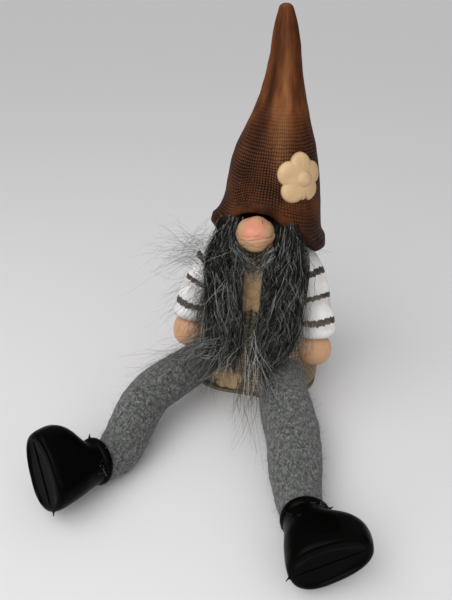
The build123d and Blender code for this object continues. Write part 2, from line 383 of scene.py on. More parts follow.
def hatPaint():
    material, kit = newMaterial("brownHatPaintWithPaintedLight")
    place = kit.place()
    patches = kit.noise(place, 60.0, 5.0, 0.6)
    bands = kit.noise(place, 95.0, 3.0, 0.6, (1.0, 1.0, 0.28))
    grain = kit.noise(place, 420.0, 3.0, 0.6, (1.0, 1.0, 0.12))
    # threads run round the cone by angle and up it by the painted course number
    parts = kit.node("ShaderNodeSeparateXYZ")
    kit.join(place, parts.inputs[0])
    aside = kit.sum(parts.outputs["X"], -hat["leans"][3] * mm)
    ahead = kit.times(parts.outputs["Y"], -1.0)
    wobble = kit.times(kit.sum(kit.noise(place, 240.0, 3.0), -0.5), 3.4)

    def threads(turns):
        return kit.maths("ABSOLUTE", kit.maths("SINE", kit.sum(turns, wobble)))

    warp = threads(kit.times(kit.maths("ARCTAN2", aside, ahead), hat["threads"] / 2.0))
    weft = threads(kit.times(kit.value("course"), math.pi))
    knots = kit.times(warp, weft)
    faded = kit.ramp(kit.noise(place, 48.0, 3.0), [(0.36, (0.35, 0.35, 0.35)), (0.56, (1, 1, 1))])
    woven = kit.times(kit.value("weave"), faded)
    base = kit.ramp(patches, [(0.34, (0.014, 0.0040, 0.0014)), (0.48, (0.038, 0.0108, 0.0036)),
                              (0.64, (0.098, 0.0330, 0.0110))])
    spire = kit.ramp(bands, [(0.36, (0.055, 0.0150, 0.0045)), (0.52, (0.120, 0.0370, 0.0110)),
                             (0.66, (0.200, 0.0720, 0.0240))])
    base = kit.blend(base, spire, kit.value("spire"))
    # painted highlight: the streak up the front turns a lighter brown
    base = kit.blend(base, (0.330, 0.145, 0.060), kit.times(kit.value("paintedLightAndShade"), 0.36))
    # painted shade: the band beside the streak turns darker
    dark = kit.maths("MAXIMUM", kit.times(kit.value("paintedLightAndShade"), -0.75))
    base = kit.blend(base, (0.016, 0.0045, 0.0018), dark)
    streaks = kit.ramp(grain, [(0.35, (0.68, 0.66, 0.64)), (0.65, (1.25, 1.2, 1.15))])
    base = kit.blend(base, streaks, 0.6, "MULTIPLY")
    # painted shade in the weave's pits and painted highlight on its tops
    pits = kit.ramp(knots, [(0.10, (1, 1, 1)), (0.42, (0, 0, 0))])
    tops = kit.ramp(knots, [(0.58, (0, 0, 0)), (0.92, (1, 1, 1))])
    base = kit.blend(base, (0.0045, 0.0016, 0.0009), kit.times(kit.times(pits, woven), 0.88))
    base = kit.blend(base, (0.200, 0.085, 0.034), kit.times(kit.times(tops, woven), 0.40))
    kit.colour(base)
    kit.rough(patches, 0.5, 0.72)
    kit.bump(kit.sum(kit.times(knots, woven), kit.times(grain, 0.35)), 0.7, 0.3)
    kit.shader.inputs["Specular IOR Level"].default_value = 0.08
    return material


def castPaint(name, light, dark, shadeTone, roughness=0.5):
    material, kit = newMaterial(name)
    place = kit.place()
    cloud = kit.noise(place, 130.0, 4.0, 0.55)
    specks = kit.noise(place, 900.0, 2.0, 0.7)
    base = kit.ramp(cloud, [(0.3, dark), (0.7, light)])
    # painted shade: darkens towards the shade tone where the mesh marks it
    base = kit.blend(base, shadeTone, kit.ramp(kit.value("paintedShade"), [(0.0, (0, 0, 0)), (1.0, (0.9, 0.9, 0.9))]))
    kit.colour(base)
    kit.rough(cloud, roughness - 0.1, roughness + 0.12)
    kit.bump(kit.sum(cloud, kit.times(specks, 0.35)), 0.3, 0.2)
    return material


def nosePaint():
    material, kit = newMaterial("fleshPaintWithBlush")
    place = kit.place()
    cloud = kit.noise(place, 160.0, 4.0, 0.55)
    base = kit.ramp(cloud, [(0.3, (0.43, 0.248, 0.135)), (0.7, (0.55, 0.335, 0.185))])
    base = kit.blend(base, (0.66, 0.215, 0.150), kit.value("blush"))
    # painted shade in the creases and under the nose
    base = kit.blend(base, (0.26, 0.12, 0.07), kit.value("paintedShade"))
    kit.colour(base)
    kit.rough(cloud, 0.42, 0.6)
    kit.bump(kit.noise(place, 700.0, 3.0, 0.6), 0.25, 0.15)
    kit.shader.inputs["Subsurface Weight"].default_value = 0.08
    kit.shader.inputs["Subsurface Radius"].default_value = (0.003, 0.0015, 0.001)
    return material


def knitPaint():
    material, kit = newMaterial("knittedCastPaint")
    place = kit.place()
    patches = kit.noise(place, 90.0, 4.0, 0.6)
    relief = kit.value("relief")
    base = kit.ramp(patches, [(0.3, (0.17, 0.125, 0.075)), (0.7, (0.31, 0.235, 0.145))])
    # painted highlight on the stitches' raised tops
    base = kit.blend(base, (0.52, 0.44, 0.32), kit.ramp(relief, [(0.55, (0, 0, 0)), (1.0, (0.8, 0.8, 0.8))]))
    # painted shade in the gaps between the stitches
    gaps = kit.ramp(relief, [(0.03, (0.95, 0.95, 0.95)), (0.42, (0, 0, 0))])
    base = kit.blend(base, (0.020, 0.013, 0.009), gaps)
    kit.colour(base)
    kit.rough(patches, 0.62, 0.85)
    kit.bump(kit.noise(place, 800.0, 3.0, 0.6), 0.4, 0.15)
    return material


def sleevePaint():
    material, kit = newMaterial("whiteSleevePaint")
    place = kit.place()
    cloud = kit.noise(place, 120.0, 4.0, 0.6)
    weave = kit.noise(place, 1100.0, 2.0, 0.6)
    base = kit.ramp(cloud, [(0.3, (0.72, 0.70, 0.68)), (0.6, (0.90, 0.88, 0.86))])
    strokes = kit.noise(place, 500.0, 3.0, 0.65)
    brush = kit.ramp(strokes, [(0.35, (0.018, 0.010, 0.007)), (0.75, (0.085, 0.050, 0.034))])
    base = kit.blend(base, brush, kit.ramp(kit.value("stripe"), [(0.42, (0, 0, 0)), (0.58, (1, 1, 1))]))
    # painted shade in the folds and towards the cuff
    base = kit.blend(base, (0.33, 0.27, 0.22), kit.value("paintedShade"))
    kit.colour(base)
    kit.rough(cloud, 0.6, 0.8)
    kit.bump(kit.sum(cloud, kit.times(weave, 0.5)), 0.4, 0.25)
    return material


def woolFelt():
    material, kit = newMaterial("greyWoolFelt")
    place = kit.place("UV")
    tufts = kit.noise(place, 4.4, 8.0, 0.82)
    flecks = kit.noise(place, 11.0, 5.0, 0.75, (1.0, 0.6, 1.0))
    fibres = kit.noise(place, 46.0, 3.0, 0.7, (0.35, 1.0, 1.0))
    base = kit.ramp(tufts, [(0.38, (0.024, 0.027, 0.024)), (0.48, (0.088, 0.093, 0.086)),
                            (0.60, (0.200, 0.207, 0.195))])
    dark = kit.ramp(flecks, [(0.43, (0.16, 0.17, 0.16)), (0.50, (1, 1, 1)), (0.62, (1.3, 1.3, 1.3))])
    light = kit.ramp(fibres, [(0.40, (0.55, 0.55, 0.55)), (0.64, (1.55, 1.55, 1.55))])
    base = kit.blend(base, dark, 0.9, "MULTIPLY")
    base = kit.blend(base, light, 0.85, "MULTIPLY")
    kit.colour(base)
    kit.shader.inputs["Roughness"].default_value = 0.95
    kit.shader.inputs["Sheen Weight"].default_value = 0.15
    kit.shader.inputs["Sheen Roughness"].default_value = 0.6
    kit.bump(kit.sum(kit.sum(tufts, fibres), kit.times(flecks, 0.7)), 0.8, 0.5)
    return material


def hairMaterial(name, tone, roughness=0.42):
    material, kit = newMaterial(name)
    cloud = kit.noise(kit.place(), 300.0, 2.0, 0.6)
    darker = tuple(part * 0.6 for part in tone)
    lighter = tuple(part * 1.35 for part in tone)
    kit.colour(kit.ramp(cloud, [(0.35, darker), (0.65, lighter)]))
    kit.shader.inputs["Roughness"].default_value = roughness
    kit.shader.inputs["Specular IOR Level"].default_value = 0.15
    return material


def bootVinyl():
    material, kit = newMaterial("blackMouldedVinyl")
    place = kit.place()
    cloud = kit.noise(place, 110.0, 4.0, 0.55)
    dust = kit.noise(place, 1500.0, 2.0, 0.5)
    base = kit.ramp(cloud, [(0.35, (0.0003, 0.0006, 0.0003)), (0.7, (0.0008, 0.0013, 0.0007))])
    base = kit.blend(base, (0.03, 0.03, 0.028), kit.ramp(dust, [(0.78, (0, 0, 0)), (0.84, (0.5, 0.5, 0.5))]))
    kit.colour(base)
    kit.rough(cloud, 0.24, 0.36)
    kit.bump(kit.sum(cloud, kit.times(dust, 0.1)), 0.12, 0.2)
    kit.shader.inputs["Specular IOR Level"].default_value = 0.035
    return material


def padFelt():
    material, kit = newMaterial("seatPadFelt")
    fibres = kit.noise(kit.place(), 900.0, 4.0, 0.7)
    kit.colour(kit.ramp(fibres, [(0.35, (0.095, 0.075, 0.052)), (0.7, (0.27, 0.22, 0.155))]))
    kit.shader.inputs["Roughness"].default_value = 0.95
    kit.bump(fibres, 0.7, 0.3)
    return material


# Hat

hat = {
    "heights": (66, 80, 90, 100, 107, 115, 122, 130, 138, 147, 156, 163),
    "radii": (23.6, 22.3, 20.4, 18.9, 17.6, 15.3, 12.6, 9.8, 7.7, 6.1, 4.8, 2.9),
    "leans": (1.6, 2.0, 2.8, 2.7, 2.6, 2.8, 3.1, 3.4, 3.3, 3.1, 2.6, 2.0),
    # the brim's lower edge, by angle from the front towards the figure's left
    "edgeAngles": (-180, -130, -100, -80, -64, -54, -46, -40, -34, -27, -20, -7,
                   5, 16, 28, 40, 51, 64, 76, 92, 120, 150, 180),
    "edgeHeights": (73.5, 74.5, 76.0, 77.6, 78.4, 78.2, 79.2, 82.0, 85.2, 87.8, 89.2, 90.2,
                    89.4, 86.8, 83.9, 80.3, 76.6, 72.2, 71.2, 70.6, 70.8, 72.2, 73.5),
    "tip": 165.0,
    "tipLean": 1.9,
    # radius and drop of the last rings over the tip
    "tipRings": ((2.45, 1.35), (1.8, 0.8), (0.9, 0.42)),
    "lip": 2.5,
    # the woven wall starts this many lips above the brim's edge
    "wallStart": 1.45,
    "flare": 2.1,
    "wall": 2.4,
    "threads": 102,
    "threadPitch": 1.32,
    # a painted highlight streak and a band of painted shade up the front, by angle in degrees
    "highlightStreak": (14.0, 12.0),
    "shaded": (-27.0, 13.0),
    "columns": 320,
    "rows": 260,
}


def hatRadius(height):
    return through(hat["heights"], hat["radii"], height)


def hatLean(height):
    return through(hat["heights"], hat["leans"], height)


# Angle 0 is the front, -Y, and grows towards +X
def around(angle, radius, height, lean=0.0):
    return np.stack([lean + radius * np.sin(angle), -radius * np.cos(angle), height], -1)


# Rings up inside the brim, then round its rolled lip
def brimRings(angles, edge):
    lip = hat["lip"]
    rings = []
    for rise, inset in ((15.0, 0.0), (8.0, -0.4), (lip + 1.0, -0.2)):
        height = edge + rise
        rings.append(around(angles, hatRadius(height) - hat["wall"] + inset, height, hatLean(height)))
    for turn in np.linspace(-1.0, 0.55, 12):
        swing = turn * math.pi / 2
        height = edge + lip - lip * math.cos(swing)
        out = hat["flare"] + lip * math.sin(swing) - lip * 0.55
        base = hatRadius(np.maximum(edge + lip, hat["heights"][0]))
        rings.append(around(angles, base + out, height, hatLean(height)))
    return rings


# Rings from the brim to the tip, with the values that the paint reads
def wallRings(angles, edge):
    degrees = np.degrees(angles)
    highlightStreak = np.exp(-((degrees - hat["highlightStreak"][0]) / hat["highlightStreak"][1]) ** 2)
    shaded = np.exp(-((degrees - hat["shaded"][0]) / hat["shaded"][1]) ** 2)
    lip = hat["lip"]
    start = edge + lip * hat["wallStart"]
    rings = []
    painted = {"weave": [], "course": [], "spire": [], "paintedLightAndShade": []}
    for share in np.linspace(0, 1, hat["rows"]) ** 0.92:
        height = start + share * (hat["tip"] - 2.0 - start)
        above = height - edge
        radius = hatRadius(height) + (hat["flare"] + 0.25 * lip) * np.exp(-(above - lip * 1.3) / 2.6)
        place = around(angles, radius, height)
        patch = wander(place, 26.0, 5)
        grain = wander(np.stack([angles * 14, height * 0.02, patch * 0.4], -1), 2.0, 9)
        upper = smoothStep(104, 132, height)
        radius = radius + 0.12 * upper * grain
        radius = radius + 0.35 * wander(place, 14.0, 3) * (0.4 + 0.6 * smoothStep(80, 120, height))
        rings.append(around(angles, radius, height, hatLean(height)))
        clear = smoothStep(lip * hat["wallStart"], lip * hat["wallStart"] + 1.5, above)
        painted["weave"].append(clear * (1 - 0.92 * smoothStep(106, 136, height)))
        dip = 0.45 * (edge - 78) * smoothStep(22, 0, above)
        painted["course"].append((height - dip) / hat["threadPitch"])
        painted["spire"].append(upper)
        # painted light over the middle of the hat: up for the highlight streak, down for the band of shade
        middle = smoothStep(97, 110, height) * (1 - 0.6 * smoothStep(140, 158, height))
        painted["paintedLightAndShade"].append(middle * (highlightStreak - shaded))
    return rings, painted


def makeHat():
    angles = np.linspace(-math.pi, math.pi, hat["columns"], endpoint=False)
    edge = through(hat["edgeAngles"], hat["edgeHeights"], np.degrees(angles))
    edge = edge + 0.15 * np.sin(11 * angles)
    still = np.zeros_like(angles)
    brim = brimRings(angles, edge)
    wall, painted = wallRings(angles, edge)
    tip = [around(angles, radius + still, hat["tip"] - drop + still, hat["tipLean"])
           for radius, drop in hat["tipRings"]]
    thing = ringSurface("hatShell", np.array(brim + wall + tip), capLast=True)
    last = {"weave": still, "course": painted["course"][-1], "spire": still + 1, "paintedLightAndShade": still}
    for name, values in painted.items():
        paintValue(thing, name, np.array([still] * len(brim) + values + [last[name]] * len(tip)))
    thing.data.materials.append(hatPaint())
    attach(thing, "figure")
    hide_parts("hat")


# Flowers

# Angle and height of the middle, the radius that it lies round, then the petals, the domed eye and the
# angle of a small chip in the rim. Each is stretched upwards and widened by a share.
hatFlower = {"angle": 41.0, "height": 103.8, "bend": 18.4, "notch": 7.4, "petal": 2.1, "stretch": 1.07,
             "wide": 1.1, "thick": 2.3, "dome": 3.0, "domeAside": 0.5, "domeRise": 1.2, "chip": -78.0,
             "tilt": 88.0}
chestFlower = {"angle": 0.0, "height": 53.0, "bend": 23.0, "notch": 6.8, "petal": 2.6, "stretch": 1.12,
               "wide": 1.0, "thick": 2.0, "dome": 2.6, "domeAside": 0.0, "domeRise": 0.6, "chip": 200.0,
               "tilt": 90.0}
bellyFlower = {"angle": -12.0, "height": 8.8, "bend": 31.0, "notch": 4.9, "petal": 2.3, "stretch": 0.98,
               "wide": 1.0, "thick": 2.4, "dome": 2.4, "domeAside": 0.0, "domeRise": 0.9, "chip": 200.0,
               "tilt": 90.0}
flowerGrid = {"petals": 5, "columns": 160, "rows": 34, "sunk": 1.2}


# A petalled cast flower that lies on a round surface, given as surface(angle, height, lift)
def makeFlower(name, shape, surface, node, material):
    turn = np.linspace(0, 2 * math.pi, flowerGrid["columns"], endpoint=False)
    phase = flowerGrid["petals"] / 2 * (turn - math.radians(shape["tilt"]))
    lobe = np.abs(np.cos(phase))
    crease = (1 - lobe) ** 2
    outline = shape["notch"] + shape["petal"] * lobe ** 0.8 + 0.25 * np.sin(3 * turn + 1)
    fromChip = turn - math.radians(shape["chip"])
    gap = np.degrees(np.arctan2(np.sin(fromChip), np.cos(fromChip)))
    outline = outline - 1.5 * np.exp(-(gap / 5.0) ** 2)
    centre = math.radians(shape["angle"])
    layers = []
    paintedShade = []
    for row in range(flowerGrid["rows"]):
        share = (row / (flowerGrid["rows"] - 1)) ** 0.8
        reach = outline * share
        across = reach * np.cos(turn) * shape["wide"]
        along = reach * np.sin(turn) * shape["stretch"]
        lift = shape["thick"] * (1 - share ** 6) ** 0.5
        lift = lift - 0.14 * crease * smoothStep(0.45, 0.9, share)
        spread = np.hypot(across - shape["domeAside"], along)
        dome = np.clip(1 - (spread / shape["dome"]) ** 2, 0, None) ** 0.6
        lift = lift + shape["domeRise"] * dome + 0.12 * np.sin(across * 0.9 + 2) * np.sin(along * 0.7)
        vein = 0.10 * np.exp(-(np.abs(np.sin(phase)) / 0.12) ** 2)
        lift = lift + vein * (smoothStep(0.4, 0.6, share) * smoothStep(0.95, 0.8, share))
        rim = np.exp(-((spread - shape["dome"] * 0.92) / 0.4) ** 2)
        layers.append(surface(centre + across / shape["bend"], shape["height"] + along, lift - 0.06 * rim))
        # painted shade round the dome's foot, along the outer edge and in the creases between petals
        paintedShade.append(0.13 * rim + 0.42 * smoothStep(0.95, 1.0, share) + 0.08 * crease * share)
    under = outline * 0.97
    sunk = np.full_like(turn, -flowerGrid["sunk"])
    layers.append(surface(centre + under * np.cos(turn) / shape["bend"],
                          shape["height"] + under * np.sin(turn) * shape["stretch"], sunk))
    paintedShade.append(np.ones_like(turn))
    thing = ringSurface(name, np.array(layers), capFirst=True, flip=True)
    paintValue(thing, "paintedShade", np.append(np.array(paintedShade).ravel(), 0.0))
    thing.data.materials.append(material)
    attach(thing, "figure")
    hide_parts(node)


def hatSurface(angle, height, lift):
    return around(angle, hatRadius(height) + lift, height + 0.15 * lift, hatLean(height))


# Torso

torso = {
    "heights": (0.8, 3, 8, 14, 21, 34, 46, 58, 71, 78),
    "halfWidths": (29.2, 30.6, 31.0, 31.2, 31.2, 28.9, 25.2, 21.4, 18.6, 17.4),
    "halfDepths": (20.8, 22.2, 22.8, 23.4, 24.0, 22.6, 20.0, 17.8, 16.4, 15.6),
    "middleY": 1.0,
    "lowest": 1.2,
    "square": 2.35,
    "stitches": 100,
    "stitchPitch": 1.75,
    "stitchDepth": 0.55,
    "columns": 400,
    "rows": 200,
}


def torsoPlace(angle, height, lift=0.0):
    wide = through(torso["heights"], torso["halfWidths"], height) + lift
    deep = through(torso["heights"], torso["halfDepths"], height) + lift
    power = 2 / torso["square"]
    sideways = np.sign(np.sin(angle)) * np.abs(np.sin(angle)) ** power
    forward = np.sign(np.cos(angle)) * np.abs(np.cos(angle)) ** power
    return np.stack([wide * sideways, torso["middleY"] - deep * forward, height], -1)


# A knitted relief: high where threads cross, a little higher on every other one
def waffle(across, along):
    warp = np.abs(np.sin(math.pi * across))
    weft = np.abs(np.sin(math.pi * along))
    over = 0.5 + 0.5 * np.sign(np.sin(math.pi * across) * np.sin(math.pi * along)) * 0.35
    return (warp * weft) ** 0.7 * (0.62 + 0.38 * over * 2) / 1.1


def makeTorso():
    angles = np.linspace(-math.pi, math.pi, torso["columns"], endpoint=False)
    rows = [torsoPlace(angles, np.full_like(angles, torso["heights"][0]), -3.0)]
    relief = [np.full_like(angles, 0.3)]
    for height in np.linspace(torso["heights"][0], torso["heights"][-1], torso["rows"]):
        level = np.full_like(angles, height)
        place = torsoPlace(angles, level)
        patch = wander(place, 22.0, 21)
        across = (angles + math.pi) / (2 * math.pi) * torso["stitches"]
        along = height / torso["stitchPitch"] + 0.2 * patch
        stitch = waffle(across + 0.08 * patch, along)
        rib = np.abs(np.sin(math.pi * across))
        mixed = 0.85 * stitch + 0.15 * rib
        lift = torso["stitchDepth"] * (mixed - 0.5) + 0.5 * wander(place, 18.0, 22)
        rows.append(torsoPlace(angles, level, lift))
        relief.append(np.clip(mixed * (0.85 + 0.3 * patch), 0, 1))
    thing = ringSurface("torsoKnit", np.array(rows), capFirst=True, capLast=True)
    paintValue(thing, "relief", np.array(relief))
    thing.data.materials.append(knitPaint())
    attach(thing, "figure")
    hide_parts("torso", "head")


def torsoSurface(angle, height, lift):
    return torsoPlace(angle, np.clip(height, torso["lowest"], None), lift)


# Nose

nose = {
    "radius": 7.8,
    "squash": 0.98,
    "blushWidth": 4.6,
    "blushHeight": 3.4,
    "blushRise": 3.0,
    # level and depth of each crease across the front
    "creases": ((0.10, 0.22), (-0.02, 0.30), (-0.16, 0.16), (-0.30, 0.24), (-0.52, 0.2)),
}


# The ways from a ball's middle to every place of its surface
def ballWays(columns, rows):
    turn = np.linspace(-math.pi, math.pi, columns, endpoint=False)
    tilt = np.linspace(-math.pi / 2 + 0.02, math.pi / 2 - 0.02, rows)
    turn, tilt = np.meshgrid(turn, tilt)
    return np.stack([np.cos(tilt) * np.sin(turn), -np.cos(tilt) * np.cos(turn), np.sin(tilt)], -1)


def makeNose():
    low, high = boxOf("nose")
    centre = np.array([0.0, low[1] + (high[0] - low[0]) / 2, (low[2] + high[2]) / 2])
    way = ballWays(128, 90)
    radius = nose["radius"] * (1 - 0.14 * smoothStep(0.35, 0.9, way[..., 2]))
    radius = radius * (1 + 0.06 * wander(way, 0.8, 31) - 0.05 * np.abs(way[..., 0]) * (way[..., 2] > 0))
    crease = np.zeros_like(radius)
    for level, depth in nose["creases"]:
        bent = way[..., 2] - level - 0.10 * np.sin(3.0 * way[..., 0] + 9 * level)
        crease += depth * np.exp(-(bent / 0.028) ** 2) * (way[..., 1] < -0.1)
    points = centre + way * (radius - crease)[..., None]
    points[..., 2] = centre[2] + (points[..., 2] - centre[2]) * nose["squash"]
    thing = ringSurface("noseBall", points, capFirst=True, capLast=True)
    aside = points[..., 0] / nose["blushWidth"]
    upper = (points[..., 2] - centre[2] - nose["blushRise"]) / nose["blushHeight"]
    blush = np.clip(1.25 - (aside**4 + upper**4), 0, 1) * (way[..., 1] < 0.1)
    # painted shade in the creases, under the nose and on its lower side towards the figure's left
    paintedShade = np.clip(crease * 1.6, 0, 0.6) + 0.5 * smoothStep(-0.55, -0.95, way[..., 2])
    paintedShade = paintedShade + 0.55 * np.exp(-((way[..., 0] - 0.75) ** 2 + (way[..., 2] + 0.35) ** 2) / 0.06)
    paintValue(thing, "blush", blush * 0.8 * (0.85 + 0.3 * wander(way, 0.35, 33)))
    paintValue(thing, "paintedShade", np.clip(paintedShade, 0, 0.8))
    thing.data.materials.append(nosePaint())
    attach(thing, "figure")
    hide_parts("nose")


# Arms

arm = {
    "line": ((14.5, 0.5, 67.0), (20.5, -3.0, 60.0), (24.6, -6.5, 50.0), (28.3, -11.5, 38.0),
             (29.0, -12.7, 33.2)),
    "shareAt": (0.0, 0.25, 0.5, 0.85, 0.94, 1.0),
    "radii": (6.8, 7.4, 7.6, 7.9, 8.2, 6.9),
    "stripes": (0.31, 0.575, 0.835),
    "stripeHalf": 0.03,
    "rows": 120,
    "columns": 96,
}
hand = {"centre": (29.3, -13.4, 26.2), "radii": (7.4, 6.6, 8.0), "thumb": (-0.72, -0.60, 0.35)}


# Points and directions along a smooth line through a few places
def lineThrough(places, shares):
    places = np.array(places, float)
    gaps = np.linalg.norm(np.diff(places, axis=0), axis=1)
    keys = np.concatenate([[0], np.cumsum(gaps)]) / gaps.sum()
    centre = np.stack([through(keys, places[:, part], shares) for part in range(3)], -1)
    along = np.gradient(centre, axis=0)
    return centre, along / np.linalg.norm(along, axis=1, keepdims=True)


# Ways out from a line, all round it: turn 0 is square to the hint
def waysAround(along, hint, turn):
    cross = np.cross(along, np.array(hint))
    cross /= np.linalg.norm(cross, axis=1, keepdims=True)
    lifted = np.cross(cross, along)
    return cross[:, None] * np.cos(turn)[None, :, None] + lifted[:, None] * np.sin(turn)[None, :, None]


def makeSleeve(name, material):
    side = sides[name]
    places = [(side * x, y, z) for x, y, z in arm["line"]]
    shares = np.linspace(0, 1, arm["rows"])
    centre, along = lineThrough(places, shares)
    turn = np.linspace(0, 2 * math.pi, arm["columns"], endpoint=False)
    ring = waysAround(along, (0.0, -1.0, 0.0), turn)
    radius = through(arm["shareAt"], arm["radii"], shares)[:, None]
    plain = centre[:, None] + ring * radius[..., None]
    folds = 0.30 * wander(plain, 7.0, 40 + side) + 0.22 * np.sin(shares[:, None] * 26 + 1.5 * np.sin(turn))
    folds = folds * smoothStep(0.05, 0.3, shares)[:, None] * 0.9
    place = centre[:, None] + ring * (radius + folds)[..., None]
    hem = place[-1] * 0.45 + centre[-1] * 0.55 - along[-1] * 1.5
    place = np.concatenate([place, hem[None]])
    thing = ringSurface(f"{name}SleeveCloth", place, capFirst=True, capLast=True)
    ragged = 0.006 * np.sin(3 * turn) + 0.005 * np.sin(17 * turn) + 0.004 * np.sin(31 * turn + 1)
    stripe = np.zeros_like(folds)
    for middle in arm["stripes"]:
        away = np.abs(shares[:, None] + ragged[None] - middle)
        stripe = np.maximum(stripe, 1 - away / arm["stripeHalf"] / 2)
    # painted shade in the folds' hollows and towards the cuff
    paintedShade = np.clip(-folds * 0.9, 0, 0.35) + 0.25 * smoothStep(0.96, 1.0, shares)[:, None]
    paintValue(thing, "stripe", np.concatenate([stripe, stripe[-1:] * 0]))
    paintValue(thing, "paintedShade", np.concatenate([paintedShade, paintedShade[-1:]]))
    thing.data.materials.append(material)
    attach(thing, "figure")
    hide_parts(f"{name}_sleeve")


def makeHand(name, material):
    side = sides[name]
    mirror = np.array([side, 1, 1])
    way = ballWays(96, 64)
    centre = np.array(hand["centre"]) * mirror
    radius = 1 + 0.05 * wander(way, 0.8, 50 + side)
    thumbWay = np.array(hand["thumb"]) * mirror
    thumb = np.clip(way @ (thumbWay / np.linalg.norm(thumbWay)), 0, 1)
    radius = radius + 0.09 * smoothStep(0.80, 1.0, thumb)
    crease = 0.035 * np.exp(-((thumb - 0.84) / 0.04) ** 2)
    points = centre + way * np.array(hand["radii"]) * (radius - crease)[..., None]
    thing = ringSurface(f"{name}HandMitt", points, capFirst=True, capLast=True)
    # painted shade in the thumb's crease and under the hand
    paintValue(thing, "paintedShade", np.clip(crease * 5 + 0.35 * smoothStep(-0.5, -1.0, way[..., 2]), 0, 0.7))
    thing.data.materials.append(material)
    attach(thing, "figure")
    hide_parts(f"{name}_hand")


# Beard

beard = {
    "top": 87.5,
    "bottom": 22.0,
    "hairs": 2350,
    "steps": 14,
    "levels": (0.0, 0.12, 0.22, 0.42, 0.62, 0.82, 1.0),
    "front": (-18.5, -23.6, -25.6, -28.2, -30.0, -31.8, -33.5),
}
# Each panel's middle line and half width down the levels, on the panel's own side
panels = {
    "right": {"middle": (10.2, 10.7, 11.2, 10.5, 9.6, 8.4, 6.8),
              "half": (4.6, 6.0, 6.8, 6.6, 6.6, 6.2, 3.4), "seed": 61},
    "left": {"middle": (11.6, 12.8, 13.3, 13.7, 13.4, 10.9, 7.0),
             "half": (4.8, 6.6, 7.5, 7.7, 7.6, 6.8, 4.0), "seed": 62},
}
hairTones = (
    ("hairBlack", (0.0045, 0.0050, 0.0042)),
    ("hairCharcoal", (0.018, 0.0195, 0.0165)),
    ("hairGrey", (0.095, 0.100, 0.085)),
    ("hairSilver", (0.56, 0.56, 0.52)),
)
# What each layer is mixed from, how thick its hairs are, how far it stands off, and how it strays and curls
hairLayers = {
    "Under": {"mixture": (0.78, 0.18, 0.035, 0.005), "width": 0.155, "standOff": 0.0, "stray": 0.45,
              "frizz": 0.9},
    "Over": {"mixture": (0.50, 0.24, 0.14, 0.12), "width": 0.105, "standOff": 1.6, "stray": 0.85,
             "frizz": 1.7},
}


def panelLine(panel, key, down):
    return through(beard["levels"], panels[panel][key], np.clip(down, 0, 1))


def panelFront(down):
    return through(beard["levels"], beard["front"], np.clip(down, 0, 1))


# Hair lies over the legs and the belly, not in them
def liftOut(points, gap=0.5):
    for name in sides:
        _, hip, knee, ankle, _ = legPoints(name)
        radii = legs[name]["radii"]
        for start, end, first, last in ((hip, knee, radii[1], radii[3]), (knee, ankle, radii[3], radii[5])):
            span = end - start
            share = np.clip(((points - start) @ span) / (span @ span), 0, 1)[..., None]
            away = points - (start + share * span)
            reach = np.linalg.norm(away, axis=-1, keepdims=True)
            need = first + (last - first) * share + gap
            away = np.where(reach < 1.0, np.array([0.0, -0.3, 0.95]), away / np.maximum(reach, 1e-6))
            points = points + away * np.maximum(need - reach, 0)
    height = points[..., 2]
    wide = through(torso["heights"], torso["halfWidths"], height) + gap
    deep = through(torso["heights"], torso["halfDepths"], height) + gap
    share = np.clip(np.abs(points[..., 0]) / wide, 0, 1)
    face = torso["middleY"] - deep * (1 - share ** torso["square"]) ** (1 / torso["square"])
    inside = (height < 70) & (np.abs(points[..., 0]) < wide)
    points[..., 1] = np.where(inside, np.minimum(points[..., 1], face), points[..., 1])
    return points


def makeBeardMass(name):
    side = sides[name]
    turn = np.linspace(0, 2 * math.pi, 144, endpoint=False)
    down = np.linspace(0, 1, 90)[:, None]
    middle, half = panelLine(name, "middle", down), panelLine(name, "half", down) * 0.80
    closing = (1 - np.abs(2 * down - 1) ** 5) ** 0.5
    half = half * closing
    deep = 3.0 * closing
    strand = 0.35 * np.sin(turn * 31 + 5 * np.sin(down * 9)) + 0.3 * np.sin(turn * 13 + down * 12)
    x = side * (middle + (half + strand * 0.6) * np.cos(turn))
    y = panelFront(down) + deep * 0.8 + (deep + strand) * np.sin(turn)
    z = beard["top"] - 3.0 + (beard["bottom"] + 10.0 - beard["top"]) * down
    grid = np.stack(np.broadcast_arrays(x, y, z), -1)
    thing = ringSurface(f"{name}BeardMass", grid, capFirst=True, capLast=True, flip=side > 0)
    thing.data.materials.append(bpy.data.materials["hairBlack"])
    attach(thing, "figure")
    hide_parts(f"{name}_beard_pile", f"{name}_beard_backing")


